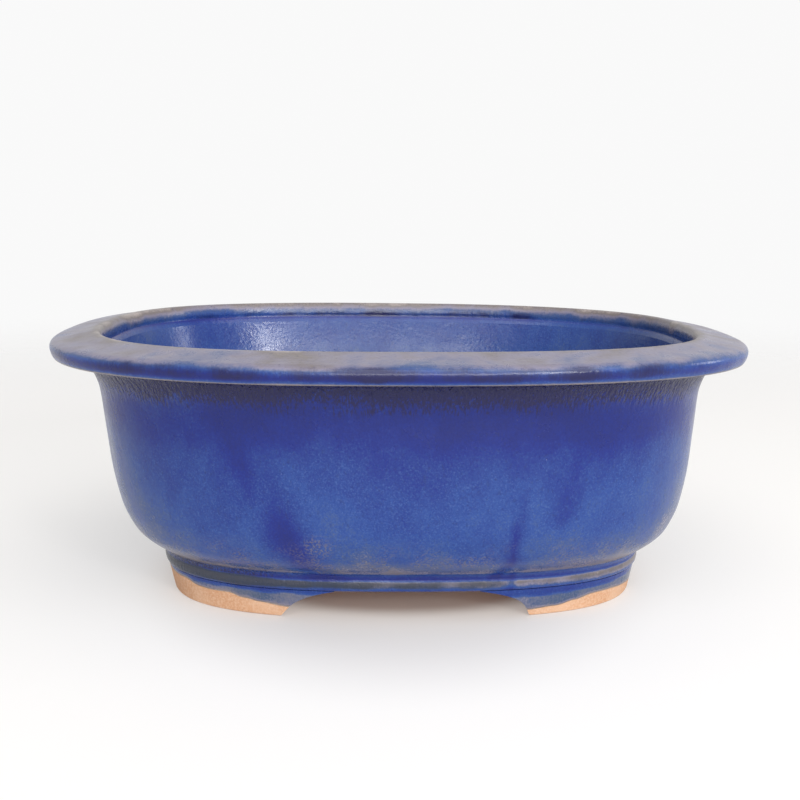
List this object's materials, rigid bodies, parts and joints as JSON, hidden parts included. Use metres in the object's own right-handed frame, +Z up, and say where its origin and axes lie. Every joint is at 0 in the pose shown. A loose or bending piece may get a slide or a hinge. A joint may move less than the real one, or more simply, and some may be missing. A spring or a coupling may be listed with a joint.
{
  "type": "bonsai pot",
  "caption": "Low oval bonsai pot in blue glazed stoneware, with an everted rim, a full belly, a moulded base and arched corner feet.",
  "frame": {"origin": "on the ground, under the middle of the pot", "axes": "+X along the pot's length, +Y from the front to the back, +Z up"},
  "size_m": [0.22, 0.176, 0.0826],
  "materials": {
    "rim_glaze": "satin blue glaze worn thin to a grey bloom on the flat of the rim",
    "blue_glaze": "satin cobalt blue glaze with runs, mottling and a dark band under the rim",
    "thin_glaze": "blue glaze broken thin and brown on the moulding, pooled blue in the grooves",
    "bare_clay": "matt unglazed stoneware",
    "foot_clay": "matt buff stoneware, bare at the sole below a hand-wiped glaze line"
  },
  "bodies": {
    "root": {"rim_lip": "rim_glaze", "body_wall": "blue_glaze", "base_ridge": "thin_glaze", "floor_slab": "bare_clay", "foot_front_left": "foot_clay", "foot_front_right": "foot_clay", "foot_back_left": "foot_clay", "foot_back_right": "foot_clay"}
  },
  "joints": []
}
